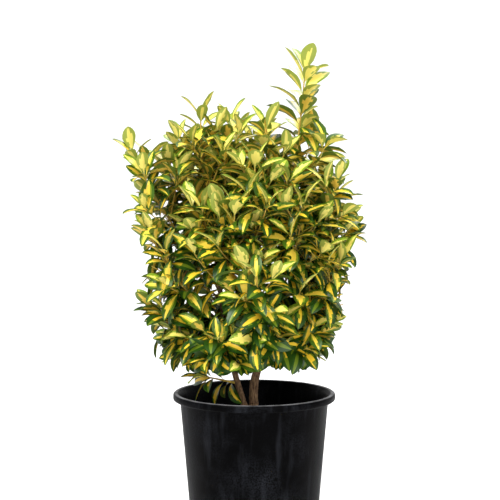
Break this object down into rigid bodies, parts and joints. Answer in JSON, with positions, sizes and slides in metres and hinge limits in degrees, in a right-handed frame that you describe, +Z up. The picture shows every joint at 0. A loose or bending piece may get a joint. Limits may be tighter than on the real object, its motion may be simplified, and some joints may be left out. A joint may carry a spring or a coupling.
{
  "type": "potted japanese euonymus",
  "caption": "Upright bushy evergreen shrub with paired, gold-centred, green-edged leathery leaves, standing in a round black nursery pot filled with soil.",
  "frame": {"origin": "middle of the pot's flat underside", "axes": "+Z up along the plant, -Y towards the front, +X to the right of the front view"},
  "size_m": [0.4253, 0.3805, 0.8441],
  "materials": {
    "pot": "satin",
    "soil": "matte",
    "bark": "matte",
    "leaves": "satin"
  },
  "bodies": {
    "root": {"bough_back_centre_high": "bark", "bough_back_left_high": "bark", "bough_back_left_low": "bark", "bough_back_left_mid": "bark", "bough_back_right_high": "bark", "bough_back_right_low": "bark", "bough_back_right_mid": "bark", "bough_centre_front_top": "bark", "bough_centre_left_top": "bark", "bough_centre_top": "bark", "bough_front_left_mid": "bark", "bough_front_right": "bark", "bough_left_far_top": "bark", "bough_left_low": "bark", "bough_left_mid": "bark", "bough_left_second": "bark", "bough_left_third": "bark", "bough_right_far": "bark", "bough_right_low": "bark", "bough_right_mid": "bark", "bough_right_upper": "bark", "bough_tall": "bark", "foliage_back_centre_high": "leaves", "foliage_back_centre_mid": "leaves", "foliage_back_left_high": "leaves", "foliage_back_left_low": "leaves", "foliage_back_left_mid": "leaves", "foliage_back_right_high": "leaves", "foliage_back_right_low": "leaves", "foliage_back_right_mid": "leaves", "foliage_centre_front_top": "leaves", "foliage_centre_left_top": "leaves", "foliage_centre_top": "leaves", "foliage_front_left_low": "leaves", "foliage_front_left_mid": "leaves", "foliage_front_low": "leaves", "foliage_front_mid": "leaves", "foliage_front_right": "leaves", "foliage_left_drop": "leaves", "foliage_left_far_top": "leaves", "foliage_left_inner": "leaves", "foliage_left_low": "leaves", "foliage_left_mid": "leaves", "foliage_left_second": "leaves", "foliage_left_third": "leaves", "foliage_low_pot": "leaves", "foliage_right_bottom": "leaves", "foliage_right_far": "leaves", "foliage_right_low": "leaves", "foliage_right_mid": "leaves", "foliage_right_upper": "leaves", "foliage_tall": "leaves", "limb_back": "bark", "limb_front": "bark", "pot": "pot", "soil": "soil", "stem_left": "bark", "stem_right": "bark", "trunk": "bark"}
  },
  "joints": []
}
